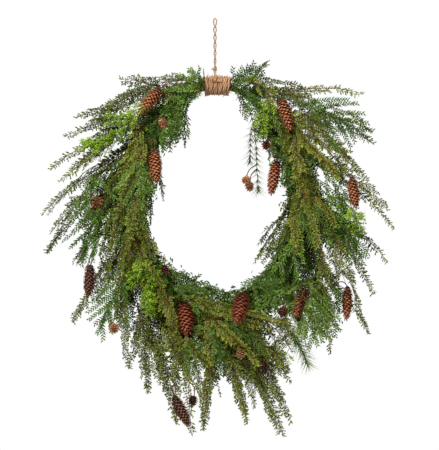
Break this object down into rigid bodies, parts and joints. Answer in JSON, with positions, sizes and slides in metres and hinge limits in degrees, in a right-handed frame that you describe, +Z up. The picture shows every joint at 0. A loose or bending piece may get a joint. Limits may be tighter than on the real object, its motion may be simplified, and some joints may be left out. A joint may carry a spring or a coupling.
{
  "type": "evergreen wreath",
  "caption": "Oval wreath of mixed evergreen sprigs wired to a vine hoop, set with hanging cones, wrapped with twine at its top and hung by a twisted twine loop.",
  "frame": {"origin": "inside top of the twine loop's eye, where a hook carries the wreath", "axes": "+Z up along the twine and the wreath's height, +X to the right as seen from the front, +Y towards the wall or door behind"},
  "size_m": [0.7882, 0.1148, 0.924],
  "materials": {
    "vine": "matte, bark left on",
    "green_wire": "satin green lacquer",
    "jute_twine": "matte plant fibre",
    "cedar_foliage": "soft satin scale leaves",
    "fir_foliage": "glossy needles",
    "pine_foliage": "satin needles",
    "larch_foliage": "soft satin needles",
    "juniper_foliage": "soft satin young shoots",
    "cone_scales": "dry satin woody scales"
  },
  "bodies": {
    "root": {"hoop": "vine", "binding_wire": "green_wire", "twine_wrap": "jute_twine", "twine_hanger": "jute_twine", "cedar_foot_left": "cedar_foliage", "cedar_foot_right": "cedar_foliage", "cedar_foot_middle": "cedar_foliage", "cedar_left_tail": "cedar_foliage", "pine_right_foot": "pine_foliage", "fir_right_low": "fir_foliage", "fir_left_low": "fir_foliage", "fir_foot_left": "fir_foliage", "fir_foot_right": "fir_foliage", "pine_foot": "pine_foliage", "cedar_foot_front": "cedar_foliage", "cedar_right_fall": "cedar_foliage", "cedar_left_skirt": "cedar_foliage", "juniper_left_low": "juniper_foliage", "cedar_left_hanging": "cedar_foliage", "fir_right_inner_low": "fir_foliage", "cedar_right_low": "cedar_foliage", "fir_right_outer": "fir_foliage", "pine_right": "pine_foliage", "fir_left_outer": "fir_foliage", "cedar_right_hanging": "cedar_foliage", "juniper_right_low": "juniper_foliage", "cedar_left_low": "cedar_foliage", "fir_left_inner": "fir_foliage", "cedar_left_mid": "cedar_foliage", "cedar_right_outer": "cedar_foliage", "fir_right_inner": "fir_foliage", "cedar_left_front": "cedar_foliage", "cedar_right_front": "cedar_foliage", "cedar_right_mid": "cedar_foliage", "juniper_left_high": "juniper_foliage", "fir_left_inner_high": "fir_foliage", "cedar_left_shoulder": "cedar_foliage", "larch_right": "larch_foliage", "cedar_right_reach": "cedar_foliage", "cedar_left_top": "cedar_foliage", "fir_right_top": "fir_foliage", "fir_left_top": "fir_foliage", "cone_left_top": "cone_scales", "cone_left_inner": "cone_scales", "cone_right_top": "cone_scales", "cone_right_inner": "cone_scales", "cone_right_outer": "cone_scales", "cone_left_outer": "cone_scales", "cone_left_foot": "cone_scales", "cone_foot": "cone_scales", "cone_right_foot": "cone_scales", "cone_right_low": "cone_scales", "cone_lowest": "cone_scales", "bud_left_top": "cone_scales", "bud_left": "cone_scales", "bud_right_top": "cone_scales", "bud_larch_high": "cone_scales", "bud_larch_low": "cone_scales", "bud_lowest": "cone_scales", "bud_right_foot": "cone_scales"}
  },
  "joints": []
}
